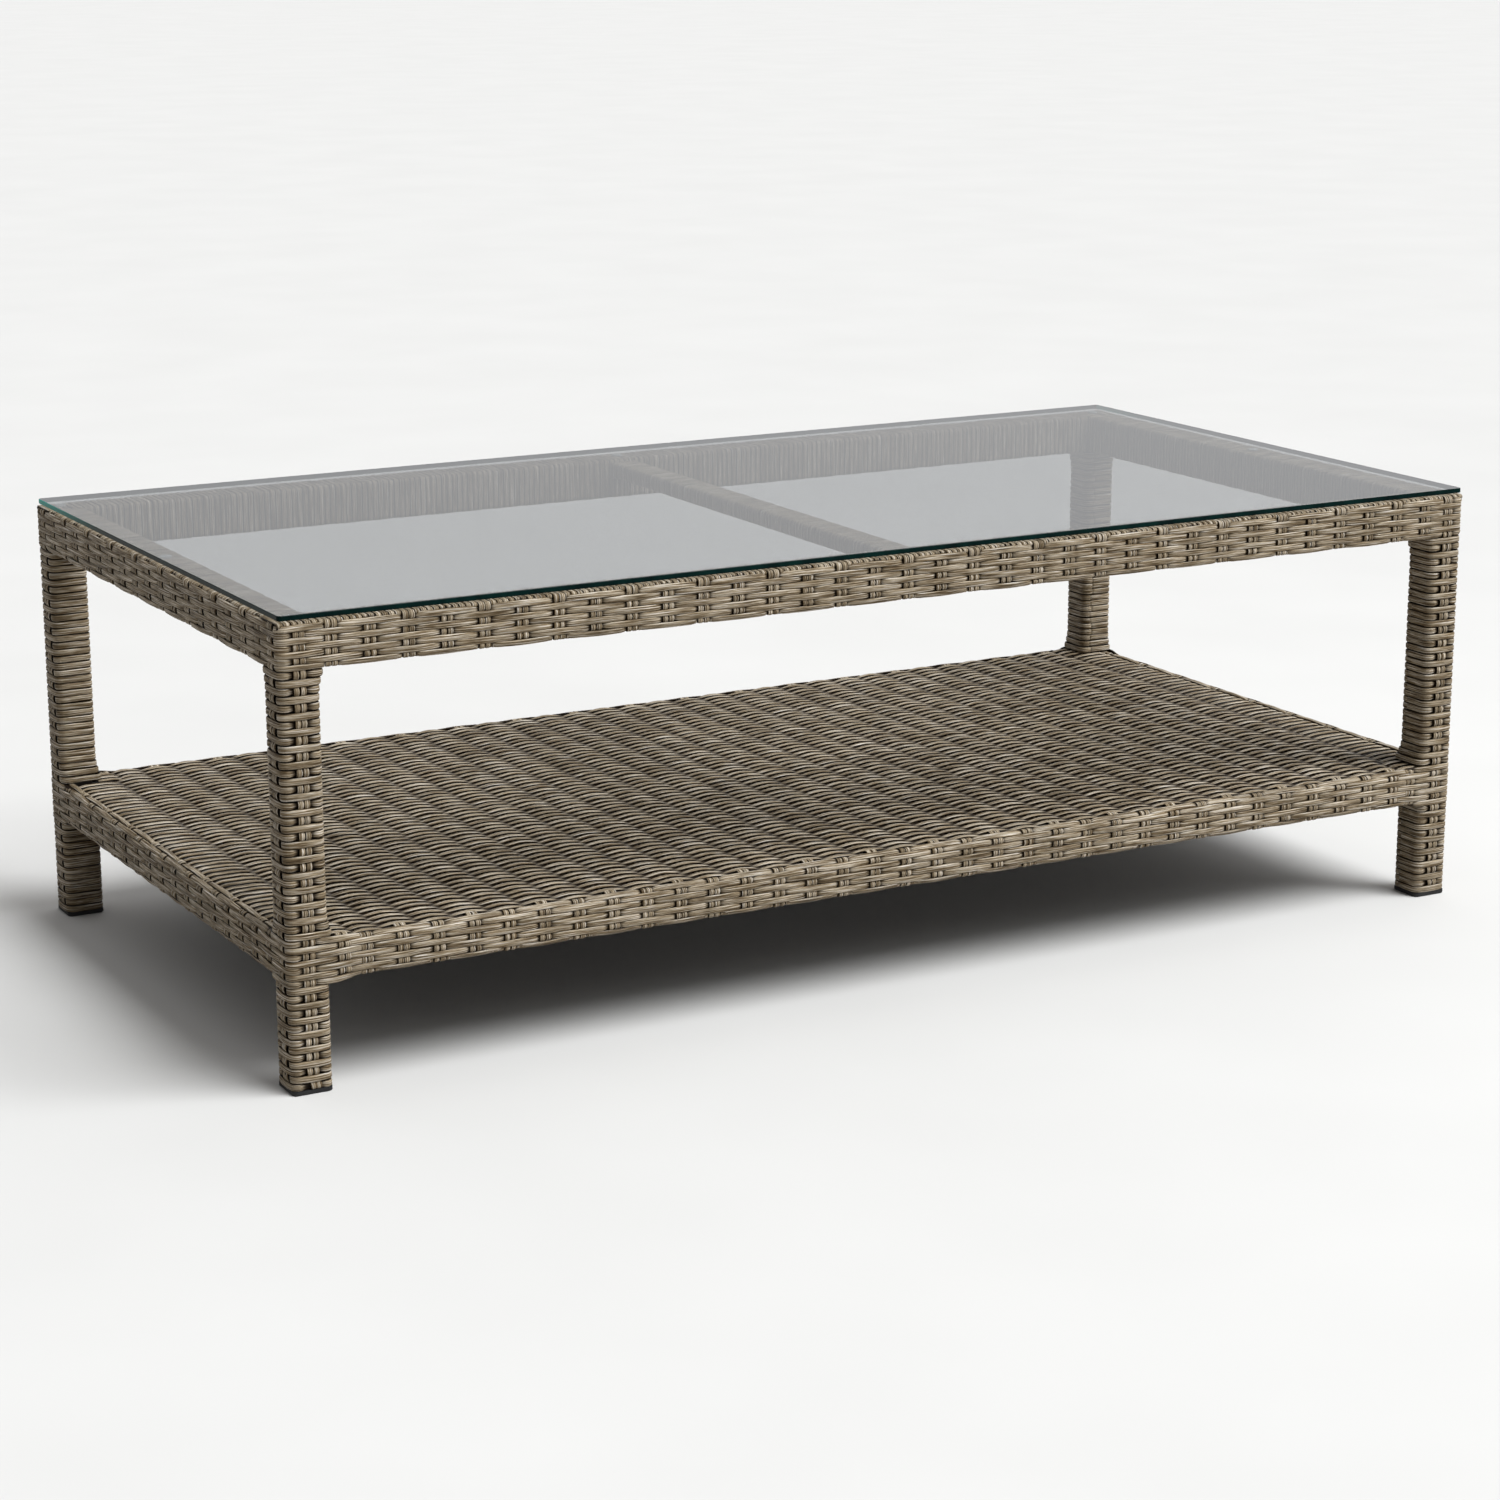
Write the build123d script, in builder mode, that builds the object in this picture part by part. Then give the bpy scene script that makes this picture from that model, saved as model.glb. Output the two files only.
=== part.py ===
"""Wicker coffee table: a welded tube frame wrapped in woven strand, a woven lower shelf and a
loose glass top.

Millimetres, +Z up.  The origin is on the floor under the middle of the table.  +X runs along
the long side and -Y is the front.
"""
import os

from build123d import *

# Outline of the woven table
table_length = 1350.0
table_width = 690.0
table_height = 450.0

# Woven bars: outer size over the strands
leg_size = 41.0
weave_radius = 5.0
apron_height = 44.5
shelf_underside = 107.0
shelf_height = 40.0
shelf_sheet = 5.0
cross_bar_weave_width = 34.0
cross_bar_weave_height = 18.0
cross_bar_drop = 3.5

# Frame tubes inside the weave
tube_size = 30.0
tube_wall = 1.2
tube_corner = 2.0
apron_tube_height = 35.0
cross_bar_width = 28.0
cross_bar_height = 12.0
shelf_bar_size = 20.0
shelf_bar_place = 225.0

# Foot caps
cap_size = 40.0
cap_thickness = 4.5
cap_chamfer = 1.0
plug_length = 18.0
plug_wall = 2.0

# Glass top and the clear pads under it
glass_thickness = 5.0
glass_inset = 2.0
glass_corner = 4.0
glass_arris = 0.6
pad_radius = 6.0
pad_thickness = 1.5

# Places worked out from the sizes above
post_x = (table_length - leg_size) / 2
post_y = (table_width - leg_size) / 2
inner_x = table_length / 2 - leg_size
inner_y = table_width / 2 - leg_size
rail_end_x = post_x - tube_size / 2
rail_end_y = post_y - tube_size / 2
weave_top = table_height - glass_thickness - pad_thickness
apron_z = weave_top - apron_height / 2
apron_tube_top = apron_z + apron_tube_height / 2
cross_bar_z = weave_top - cross_bar_drop - cross_bar_weave_height / 2
shelf_top = shelf_underside + shelf_height
shelf_z = shelf_top - shelf_height / 2
shelf_tube_top = shelf_z + tube_size / 2
shelf_bar_z = shelf_tube_top - shelf_bar_size / 2
plug_size = tube_size - 2 * tube_wall
sheet_fillet = shelf_sheet - 0.5

corners = {
    "front_left": (-1, -1),
    "front_right": (1, -1),
    "back_left": (-1, 1),
    "back_right": (1, 1),
}
long_sides = {"front": -1, "back": 1}
short_sides = {"left": -1, "right": 1}


def save(piece, name):
    """Label one finished piece and write it to its own STEP file."""
    piece.part.label = name
    export_step(piece.part, f"parts/{name}.step")


def plane_along_x(start_x, y, z):
    """Section plane of a bar that runs towards +X: its own Y is up."""
    return Plane(origin=(start_x, y, z), x_dir=(0, 1, 0), z_dir=(1, 0, 0))


def plane_along_y(x, start_y, z):
    """Section plane of a bar that runs towards +Y: its own Y is up."""
    return Plane(origin=(x, start_y, z), x_dir=(-1, 0, 0), z_dir=(0, 1, 0))


def make_tube(plane, width, height, length):
    """Thin-walled tube of rectangular section, open at both ends."""
    with BuildPart() as tube:
        with BuildSketch(plane):
            RectangleRounded(width, height, tube_corner)
            RectangleRounded(
                width - 2 * tube_wall,
                height - 2 * tube_wall,
                tube_corner - tube_wall,
                mode=Mode.SUBTRACT,
            )
        extrude(amount=length)
    return tube


def make_leg_tube(side_x, side_y):
    """Upright post from the foot cap to the top of the rails."""
    plane = Plane(origin=(side_x * post_x, side_y * post_y, cap_thickness))
    return make_tube(plane, tube_size, tube_size, apron_tube_top - cap_thickness)


def distance_from_axis(edge):
    """How far out in plan the middle of an edge lies."""
    return abs(edge.center().X) + abs(edge.center().Y)


def make_leg_weave(side_x, side_y):
    """Woven sleeve round a post, closed on top and open where the rails pass through."""
    x = side_x * post_x
    y = side_y * post_y
    with BuildPart() as weave:
        with BuildSketch(Plane(origin=(x, y, cap_thickness))):
            Rectangle(leg_size, leg_size)
        extrude(amount=weave_top - cap_thickness)
        upright = weave.edges().filter_by(Axis.Z)
        upper = weave.edges().group_by(Axis.Z)[-1]
        outer_upright = upright.sort_by(distance_from_axis)[-1:]
        outer_upper = upper.sort_by(distance_from_axis)[-2:]
        fillet(outer_upright + outer_upper, radius=weave_radius)
        with BuildSketch(Plane(origin=(x, y, cap_thickness))):
            Rectangle(tube_size, tube_size)
        extrude(amount=apron_tube_top - cap_thickness, mode=Mode.SUBTRACT)
        for z, height in ((apron_z, apron_tube_height), (shelf_z, tube_size)):
            with Locations((x - side_x * leg_size / 2, y, z)):
                Box(leg_size, tube_size, height, mode=Mode.SUBTRACT)
            with Locations((x, y - side_y * leg_size / 2, z)):
                Box(tube_size, leg_size, height, mode=Mode.SUBTRACT)
    return weave


def make_foot_cap(side_x, side_y):
    """Plastic foot: a flat flange with a hollow plug that fits inside the post."""
    x = side_x * post_x
    y = side_y * post_y
    with BuildPart() as cap:
        with BuildSketch(Plane(origin=(x, y, 0))):
            RectangleRounded(cap_size, cap_size, weave_radius)
        extrude(amount=cap_thickness)
        chamfer(cap.edges().group_by(Axis.Z)[0], length=cap_chamfer)
        with BuildSketch(Plane(origin=(x, y, cap_thickness))):
            RectangleRounded(plug_size, plug_size, plug_wall)
            Rectangle(plug_size - 2 * plug_wall, plug_size - 2 * plug_wall, mode=Mode.SUBTRACT)
        extrude(amount=plug_length)
    return cap


def make_rail_weave(plane, length):
    """Woven sleeve round one top rail."""
    with BuildPart() as weave:
        with BuildSketch(plane):
            RectangleRounded(leg_size, apron_height, weave_radius)
            Rectangle(tube_size, apron_tube_height, mode=Mode.SUBTRACT)
        extrude(amount=length)
    return weave


def make_long_rail_weave(side_y):
    """Sleeve of a long rail, with a hole in its inner wall for the cross bar."""
    y = side_y * post_y
    sleeve = make_rail_weave(plane_along_x(-inner_x, y, apron_z), 2 * inner_x)
    with BuildPart() as weave:
        add(sleeve.part)
        with Locations((0, y - side_y * leg_size / 2, cross_bar_z)):
            Box(cross_bar_width, leg_size, cross_bar_height, mode=Mode.SUBTRACT)
    return weave


def make_shelf_rail_weave(plane, length):
    """Woven trough round a shelf rail, open on top where the shelf sheet covers it."""
    with BuildPart() as weave:
        with BuildSketch(plane):
            RectangleRounded(leg_size, shelf_height, weave_radius)
            Rectangle(tube_size, tube_size, mode=Mode.SUBTRACT)
            with Locations((0, (shelf_height - shelf_sheet) / 2)):
                Rectangle(leg_size, shelf_sheet, mode=Mode.SUBTRACT)
        extrude(amount=length)
    return weave


def make_long_shelf_weave(side_y):
    """Trough of a long shelf rail, notched inside for the two shelf bars."""
    y = side_y * post_y
    trough = make_shelf_rail_weave(plane_along_x(-inner_x, y, shelf_z), 2 * inner_x)
    with BuildPart() as weave:
        add(trough.part)
        for side_x in short_sides.values():
            with Locations((side_x * shelf_bar_place, y - side_y * leg_size / 2, shelf_bar_z)):
                Box(shelf_bar_size, leg_size, shelf_bar_size, mode=Mode.SUBTRACT)
    return weave


def make_shelf_sheet():
    """Woven sheet over the shelf rails, cut out at the four legs."""
    with BuildPart() as sheet:
        with BuildSketch(Plane.XY.offset(shelf_top - shelf_sheet)):
            Rectangle(table_length, table_width)
            with GridLocations(2 * post_x, 2 * post_y, 2, 2):
                Rectangle(leg_size, leg_size, mode=Mode.SUBTRACT)
        extrude(amount=shelf_sheet)
        upper = sheet.edges().group_by(Axis.Z)[-1]
        along_front_and_back = upper.filter_by(Axis.X).sort_by(Axis.Y)
        along_left_and_right = upper.filter_by(Axis.Y).sort_by(Axis.X)
        fillet(along_front_and_back[:1] + along_front_and_back[-1:], radius=sheet_fillet)
        fillet(along_left_and_right[:1] + along_left_and_right[-1:], radius=sheet_fillet)
    return sheet


def make_cross_bar_weave():
    """Strand wrapped round the bar that crosses under the glass."""
    with BuildPart() as weave:
        with BuildSketch(plane_along_y(0, -inner_y, cross_bar_z)):
            RectangleRounded(cross_bar_weave_width, cross_bar_weave_height, weave_radius)
            Rectangle(cross_bar_width, cross_bar_height, mode=Mode.SUBTRACT)
        extrude(amount=2 * inner_y)
    return weave


def make_glass_pads():
    """Clear discs on the legs and at the middle of each rail."""
    with BuildPart() as pads:
        with BuildSketch(Plane.XY.offset(weave_top)):
            with GridLocations(2 * post_x, 2 * post_y, 2, 2):
                Circle(pad_radius)
            with Locations((0, -post_y), (0, post_y), (-post_x, 0), (post_x, 0)):
                Circle(pad_radius)
        extrude(amount=pad_thickness)
    return pads


def make_glass_top():
    """Glass sheet with small round corners and a ground bevel along its edges."""
    with BuildPart() as glass:
        with BuildSketch(Plane.XY.offset(table_height - glass_thickness)):
            RectangleRounded(
                table_length - 2 * glass_inset,
                table_width - 2 * glass_inset,
                glass_corner,
            )
        extrude(amount=glass_thickness)
        rims = glass.edges().group_by(Axis.Z)
        chamfer(rims[0] + rims[-1], length=glass_arris)
    return glass


os.makedirs("parts", exist_ok=True)

for corner, (side_x, side_y) in corners.items():
    save(make_leg_tube(side_x, side_y), f"leg_tube_{corner}")
    save(make_leg_weave(side_x, side_y), f"leg_weave_{corner}")
    save(make_foot_cap(side_x, side_y), f"foot_cap_{corner}")

for side, side_y in long_sides.items():
    apron_plane = plane_along_x(-rail_end_x, side_y * post_y, apron_z)
    save(make_tube(apron_plane, tube_size, apron_tube_height, 2 * rail_end_x), f"top_rail_{side}")
    save(make_long_rail_weave(side_y), f"top_weave_{side}")
    shelf_plane = plane_along_x(-rail_end_x, side_y * post_y, shelf_z)
    save(make_tube(shelf_plane, tube_size, tube_size, 2 * rail_end_x), f"shelf_rail_{side}")
    save(make_long_shelf_weave(side_y), f"shelf_weave_{side}")

for side, side_x in short_sides.items():
    apron_plane = plane_along_y(side_x * post_x, -rail_end_y, apron_z)
    save(make_tube(apron_plane, tube_size, apron_tube_height, 2 * rail_end_y), f"top_rail_{side}")
    sleeve_plane = plane_along_y(side_x * post_x, -inner_y, apron_z)
    save(make_rail_weave(sleeve_plane, 2 * inner_y), f"top_weave_{side}")
    shelf_plane = plane_along_y(side_x * post_x, -rail_end_y, shelf_z)
    save(make_tube(shelf_plane, tube_size, tube_size, 2 * rail_end_y), f"shelf_rail_{side}")
    trough_plane = plane_along_y(side_x * post_x, -inner_y, shelf_z)
    save(make_shelf_rail_weave(trough_plane, 2 * inner_y), f"shelf_weave_{side}")
    bar_plane = plane_along_y(side_x * shelf_bar_place, -rail_end_y, shelf_bar_z)
    save(make_tube(bar_plane, shelf_bar_size, shelf_bar_size, 2 * rail_end_y), f"shelf_bar_{side}")

cross_plane = plane_along_y(0, -rail_end_y, cross_bar_z)
save(make_tube(cross_plane, cross_bar_width, cross_bar_height, 2 * rail_end_y), "top_cross_bar")
save(make_cross_bar_weave(), "cross_bar_weave")
save(make_shelf_sheet(), "shelf_weave_panel")
save(make_glass_pads(), "glass_pads")
save(make_glass_top(), "glass_top")
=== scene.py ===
"""Looks of the wicker coffee table: woven strands, glass, pads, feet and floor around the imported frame."""

import math

import bpy
import numpy as np
from mathutils import Euler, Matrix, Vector


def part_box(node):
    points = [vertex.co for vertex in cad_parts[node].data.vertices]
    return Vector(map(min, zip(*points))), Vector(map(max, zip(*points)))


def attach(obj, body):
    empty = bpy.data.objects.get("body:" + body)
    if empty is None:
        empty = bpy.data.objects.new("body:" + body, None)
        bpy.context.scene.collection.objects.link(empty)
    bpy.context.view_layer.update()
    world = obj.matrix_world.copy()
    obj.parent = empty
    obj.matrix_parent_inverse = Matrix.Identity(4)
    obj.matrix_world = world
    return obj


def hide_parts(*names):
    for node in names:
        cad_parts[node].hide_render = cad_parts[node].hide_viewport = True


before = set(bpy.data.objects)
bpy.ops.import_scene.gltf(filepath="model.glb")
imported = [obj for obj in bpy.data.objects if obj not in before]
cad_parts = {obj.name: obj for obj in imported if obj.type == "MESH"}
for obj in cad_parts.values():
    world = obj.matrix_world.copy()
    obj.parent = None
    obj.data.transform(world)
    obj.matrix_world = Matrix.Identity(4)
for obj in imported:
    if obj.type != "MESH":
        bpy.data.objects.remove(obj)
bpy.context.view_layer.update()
random = np.random.default_rng(11)

# ---------------------------------------------------------------- sizes, in metres

MM = 0.001

# The outer faces, from the frame.
leg_low, leg_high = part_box("leg_weave_front_right")
apron_low, apron_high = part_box("top_weave_front")
shelf_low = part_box("shelf_weave_front")[0]
bar_low, bar_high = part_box("cross_bar_weave")
foot_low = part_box("foot_cap_front_right")[0]
panel_low, panel_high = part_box("shelf_weave_panel")
glass_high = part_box("glass_top")[1]

HALF_LENGTH = leg_high.x
HALF_WIDTH = -leg_low.y
LEG_SIZE = leg_high.x - leg_low.x
LEG_HALF = LEG_SIZE / 2
LEG_X = HALF_LENGTH - LEG_HALF
LEG_Y = HALF_WIDTH - LEG_HALF
APRON_TOP = apron_high.z
APRON_BOTTOM = apron_low.z
SHELF_TOP = panel_high.z
SHELF_BOTTOM = shelf_low.z
WEAVE_FOOT = leg_low.z

# The strand is a flattened oval: rows run round the table, rings round a leg, wraps round a rail, warp
# strands in pairs across the rows, and wefts along the shelf.
THICKNESS = 2.7 * MM
ROW_WIDTH = 6.6 * MM
RING_WIDTH = 7.1 * MM
WRAP_WIDTH = 5.9 * MM
WRAP_PITCH = 6.15 * MM
CAP_WIDTH = 6.5 * MM
CAP_PITCH = 6.6 * MM
WARP_WIDTH = 5.9 * MM
WARP_THICKNESS = 2.0 * MM
WEFT_WIDTH = 6.7 * MM
WEFT_THICKNESS = 2.1 * MM
PAIR_HALF = 3.15 * MM
WIDTH_SPREAD = (0.96, 1.03)
PROFILE = np.array([
    (-1.00, 0.00), (-0.82, 0.66), (-0.48, 1.00), (0.00, 0.95), (0.48, 1.00),
    (0.82, 0.66), (1.00, 0.00), (0.60, -0.85), (-0.60, -0.85),
])

# How much the depth that sets a strand's painted shade grows from its crown to its edge, which paints
# shade along the strands' edges and undersides, and how wide its ribs are.
EDGE_SHADE_DEPTH = 2.5 * MM
RIB_PITCH = 4.4 * MM

# Radii of the loop and the rings, of the rails' edges and of the shelf's upper edge.
CORNER_RADIUS = 8.0 * MM
EDGE_RADIUS = 4.5 * MM
RIM_RADIUS = 10.0 * MM

# How high the middle of a strand lies over the outer face. Below it is negative.
LYING = -THICKNESS / 2
ROW_OVER = -1.0 * MM
ROW_CROWN = 0.6 * MM
ROW_UNDER = -3.9 * MM
RING_OVER = -0.4 * MM
RING_UNDER = -3.9 * MM
WARP_HIGH = -0.3 * MM
WARP_LOW = -3.6 * MM
TUCKED = -4.0 * MM
TUCKED_END = -5.5 * MM

# A wrap goes down under the rows between these two distances from a rail's edge, once it has come near
# the outer face. A shelf pair sinks into the shelf from the third on, past its last row.
HIDING_START = 0.5 * MM
HIDING_RUN = 6.0 * MM
SINKING_START = 1.5 * MM
HIDING_FACE = (1.0 * MM, 0.2 * MM)

# The part of a row's wave that is its dip under a pair.
DIP_START, DIP_END = 0.50, 0.98

# How unevenly the strands lie.
WRAP_JITTER = 0.1 * MM
RING_JITTER = 0.15 * MM
WEFT_JITTER = 0.12 * MM
ROW_DRIFT = 0.25 * MM
BORDER_DRIFT = 0.3 * MM
WEFT_DRIFT = 0.22 * MM
RING_DRIFT = 0.2 * MM
PAIR_DRIFT = 0.3 * MM
WRAP_LEAN = 0.35 * MM

# Where rows, rings and warp pairs lie.
APRON_ROWS = 7
APRON_FIRST_ROW = 1.6 * MM
APRON_ROW_SHIFT = 0.62
APRON_ROW_CLOSER = 0.28 * MM
APRON_TILTS = {1: 0.30, APRON_ROWS: -0.35}
TILT_INWARD = 0.6 * MM
RINGS_ABOVE = 34
RINGS_BELOW = 14
RING_SPREAD = 0.03
APRON_LONG_PAIRS = 34
SHORT_PAIRS = 17
END_GAP = 31.0 * MM
SHELF_LONG_PAIRS = 34
SHELF_END_GAP = 57.0 * MM
SHELF_EXTRA_GAP = 35.0 * MM
SHELF_ROWS = 7
SHELF_ROW_PITCH = 6.2 * MM
SHELF_FIRST_ROW = 1.5 * MM
SHELF_LEG_ROW = 6.4 * MM
SHELF_LEG_FIRST_ROW = 2.0 * MM
RIM_ROW_INWARD, RIM_ROW_DROP, RIM_ROW_TILT = 3.3 * MM, 2.5 * MM, 0.80
SECOND_ROW_INWARD, SECOND_ROW_TILT = 0.5 * MM, 0.25
LAST_ROW_INWARD, LAST_ROW_RISE, LAST_ROW_TILT = 1.6 * MM, 1.8 * MM, -0.7
WEFTS = 105
WEFT_LIFT = 2.5 * MM
WEFT_MIDDLE = SHELF_TOP - 2.9 * MM
# How much higher than it lies a weft counts for its painted shade.
WEFT_SHADE_LIFT = 0.4 * MM
WEFT_END_GAP = 5.0 * MM
WEFT_LEG_OVERLAP = 2.0 * MM
WEFT_SINK = 2.6 * MM
WEFT_SINK_START, WEFT_SINK_END = 19.0 * MM, 8.0 * MM
WEFT_STRIPS = 4
FILL_PITCH = 5.9 * MM
FILL_WIDTH = 6.3 * MM
FILL_THICKNESS = 0.7 * MM
# The level that sets the filling's painted shade, deep enough that it is painted fully dark; the filling
# lies at the wefts' middle.
FILL_SHADE_LEVEL = -5.0 * MM
FILL_SECTIONS = 12
BORDER = 10.0 * MM
TRANSITION = 30.0 * MM

# How far a shelf pair runs in over the rail, how far a wrap laps onto the outer face, and how far a
# strand's end stays off an edge.
WARP_RUN = 28.0 * MM
WARP_RUN_SECTIONS = 14
LAP = 9.0 * MM
END_CLEARANCE = 1.0 * MM

# The legs: how far the rings nearest the apron and the shelf bulge inwards, where a ring is joined on
# its first inner face, and where on an outer face it meets the pair.
FLARE = (4.0 * MM, 1.8 * MM, 0.5 * MM)
RING_JOINT = (0.2, 0.3)
FACE_TURN = (0.6, 0.95)
PAIR_REACH = (5.0 * MM, 14.0 * MM)

# A leg's pairs: how they come to rest over the top, and how their loose ends spread at the foot, in
# millimetres for the pair and as a share of that for each strand.
LEG_TOP_BLEND = (6.0 * MM, 1.0 * MM)
SHORT_PAIR_REACH = 11.0 * MM
SHORT_PAIR_DEPTH = 2.0 * MM
SHORT_PAIR_BLEND = (3.0 * MM, 8.0 * MM)
CAP_PLACES = (-2.5, -1.5, 1.5, 2.5)
FOOT_HEIGHT = 26.0 * MM
FOOT_SPLAY = (1.5, 4.0)
STRAND_SPLAY = (0.6, 1.2)

# Lengths of the swept sections.
ROW_STEP = 4.2 * MM
PAIR_STEP = ROW_STEP / 2
LEG_PAIR_STEP = ROW_STEP / 2.4
WEFT_STEP = 5.4 * MM
RING_STEP = 3.6 * MM
WRAP_STEP = 9.0 * MM
ARC_STEP = 1.9 * MM

# The four sides of the table: outward direction, direction along the side, how far out the outer face is
# and how far along, both ways, the legs stand.
SIDES = {
    "front": ((0, -1), (1, 0), HALF_WIDTH, LEG_X),
    "right": ((1, 0), (0, 1), HALF_LENGTH, LEG_Y),
    "back": ((0, 1), (-1, 0), HALF_WIDTH, LEG_X),
    "left": ((-1, 0), (0, -1), HALF_LENGTH, LEG_Y),
}
LONG_SIDES = ("front", "back")
LEGS = {
    "front_left": (-1, -1),
    "front_right": (1, -1),
    "back_left": (-1, 1),
    "back_right": (1, 1),
}


# ---------------------------------------------------------------- paths

def smooth(low, high, value):
    """0 below low, 1 above high, and an even curve between."""
    share = np.clip((value - low) / (high - low), 0.0, 1.0)
    return share * share * (3.0 - 2.0 * share)


def unit(vectors):
    return vectors / np.maximum(np.linalg.norm(vectors, axis=-1, keepdims=True), 1e-12)


def rounded_path(corners, radius, step):
    """Points and outward normals along straight runs joined by arcs, in 2-D. The outside is on the right.
    radius is one number for all the arcs, or one for each of them."""
    corners = np.array(corners, float)
    radii = np.broadcast_to(radius, len(corners) - 2)
    points, normals = [], []
    start = corners[0]
    for before, corner, after, bend in zip(corners, corners[1:], corners[2:], radii):
        into, out = unit(corner - before), unit(after - corner)
        cosine, sine = into @ out, into[0] * out[1] - into[1] * out[0]
        turn = math.atan2(sine, cosine)
        reach = bend * math.tan(abs(turn) / 2)
        arc_start = corner - into * reach
        run = np.linalg.norm(arc_start - start)
        for share in np.linspace(0, 1, max(2, round(run / step) + 1))[:-1]:
            points.append(start + (arc_start - start) * share)
            normals.append((into[1], -into[0]))
        centre = arc_start + bend * math.copysign(1, turn) * np.array((-into[1], into[0]))
        pieces = max(3, round(abs(turn) * bend / min(step, ARC_STEP)))
        for angle in np.linspace(0, turn, pieces + 1)[:-1]:
            spun = np.array([
                into[0] * math.cos(angle) - into[1] * math.sin(angle),
                into[0] * math.sin(angle) + into[1] * math.cos(angle),
            ])
            normal = np.array((spun[1], -spun[0]))
            points.append(centre + bend * math.copysign(1, turn) * normal)
            normals.append(normal)
        start = corner + out * reach
    into = unit(corners[-1] - corners[-2])
    run = np.linalg.norm(corners[-1] - start)
    for share in np.linspace(0, 1, max(2, round(run / step) + 1)):
        points.append(start + (corners[-1] - start) * share)
        normals.append((into[1], -into[0]))
    return np.array(points), np.array(normals)


def distances(points):
    """How far along a path each of its points is."""
    return np.concatenate([[0.0], np.cumsum(np.linalg.norm(np.diff(points, axis=0), axis=1))])


def distance_at(points, targets):
    """How far along a path it passes closest to each target."""
    along = distances(points)
    starts, runs = points[:-1], np.diff(points, axis=0)
    lengths = np.maximum((runs * runs).sum(1), 1e-18)
    found = []
    for target in np.array(targets, float):
        share = np.clip(((target - starts) * runs).sum(1) / lengths, 0, 1)
        gap = np.linalg.norm(starts + runs * share[:, None] - target, axis=1)
        best = int(np.argmin(gap))
        found.append(along[best] + share[best] * math.sqrt(lengths[best]))
    return np.array(found)


def alternation(position, stations, first):
    """A smooth wave that is first (1 or -1) at the first station and changes sign at each next one."""
    turns = np.interp(position, stations, np.arange(len(stations)))
    return first * np.cos(math.pi * turns)


def wander(along, size, wave=90 * MM):
    """A slow irregular drift, as a hand-laid strand has."""
    phase = random.uniform(0, 2 * math.pi, 2)
    return size * (np.sin(along / wave * 2 * math.pi + phase[0])
                   + 0.6 * np.sin(along / wave * 5.1 + phase[1])) / 1.6


def in_space(side, out, along, height):
    """Points on one side of the table, from their distances outward, along and up."""
    outward, direction = np.array(side[0], float), np.array(side[1], float)
    flat = np.multiply.outer(out, outward) + np.multiply.outer(along, direction)
    return np.column_stack([flat, height])


# ---------------------------------------------------------------- strands

class Weave:
    """Strands gathered into one piece. Each strand is a closed solid swept along its path."""

    def __init__(self, name):
        self.name = name
        self.points, self.marks, self.depths = [], [], []
        self.corners, self.sizes, self.rounds = [], [], []
        self.count = 0

    def add(self, points, normals, level, width, thickness=THICKNESS):
        """A strand along points, flat towards normals; level is its height over the outer face and sets its
        painted shade.
        """
        along = distances(points)
        tangents = unit(np.gradient(points, axis=0))
        sideways = unit(np.cross(tangents, normals))
        upward = np.cross(sideways, tangents)
        width = width * random.uniform(*WIDTH_SPREAD)
        across = PROFILE[:, 0] * width / 2
        ring = (points[:, None, :] + across[None, :, None] * sideways[:, None, :]
                + (PROFILE[:, 1] * thickness / 2)[None, :, None] * upward[:, None, :])
        sections, around = len(points), len(PROFILE)
        mark = np.empty((sections, around, 3))
        mark[:, :, 0] = along[:, None] + random.uniform(0, 5)
        mark[:, :, 1] = across[None, :]
        mark[:, :, 2] = random.uniform(0, 100)
        first = self.count + np.arange(sections - 1)[:, None] * around
        here = first + np.arange(around)[None, :]
        after = first + (np.arange(around)[None, :] + 1) % around
        quads = np.stack([here, after, after + around, here + around], axis=-1).reshape(-1)
        start_cap = self.count + np.arange(around)[::-1]
        end_cap = self.count + (sections - 1) * around + np.arange(around)
        self.points.append(ring.reshape(-1, 3))
        self.marks.append(mark.reshape(-1, 3))
        # The depth attribute carries painted shade: deeper in the weave, and towards a strand's edges and
        # underside, it is darker.
        shade_below_crown = EDGE_SHADE_DEPTH * (1 - PROFILE[None, :, 1])
        self.depths.append((-level[:, None] - thickness / 2 + shade_below_crown).ravel())
        self.corners += [quads, start_cap, end_cap]
        self.sizes += [np.full((sections - 1) * around, 4), np.array([around, around])]
        self.rounds += [np.ones((sections - 1) * around, bool), np.zeros(2, bool)]
        self.count += sections * around

    def build(self, material, *nodes):
        """Makes the mesh, which rides on the frame and stands for the named CAD nodes."""
        mesh = bpy.data.meshes.new(self.name)
        corners, sizes = np.concatenate(self.corners), np.concatenate(self.sizes)
        mesh.vertices.add(self.count)
        mesh.vertices.foreach_set("co", np.concatenate(self.points).ravel())
        mesh.loops.add(len(corners))
        mesh.loops.foreach_set("vertex_index", corners.astype(np.int32))
        mesh.polygons.add(len(sizes))
        starts = np.concatenate([[0], np.cumsum(sizes)[:-1]])
        mesh.polygons.foreach_set("loop_start", starts.astype(np.int32))
        mesh.polygons.foreach_set("use_smooth", np.concatenate(self.rounds))
        mesh.update(calc_edges=True)
        mark = mesh.attributes.new("strand", "FLOAT_VECTOR", "POINT")
        mark.data.foreach_set("vector", np.concatenate(self.marks).ravel())
        # Depth in millimetres, which the strand material turns into painted shade.
        depth = mesh.attributes.new("depth", "FLOAT", "POINT")
        depth.data.foreach_set("value", np.concatenate(self.depths) / MM)
        mesh.materials.append(material)
        piece = bpy.data.objects.new(self.name, mesh)
        bpy.context.scene.collection.objects.link(piece)
        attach(piece, "frame")
        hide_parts(*nodes)


# ---------------------------------------------------------------- where rows and pairs lie

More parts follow.
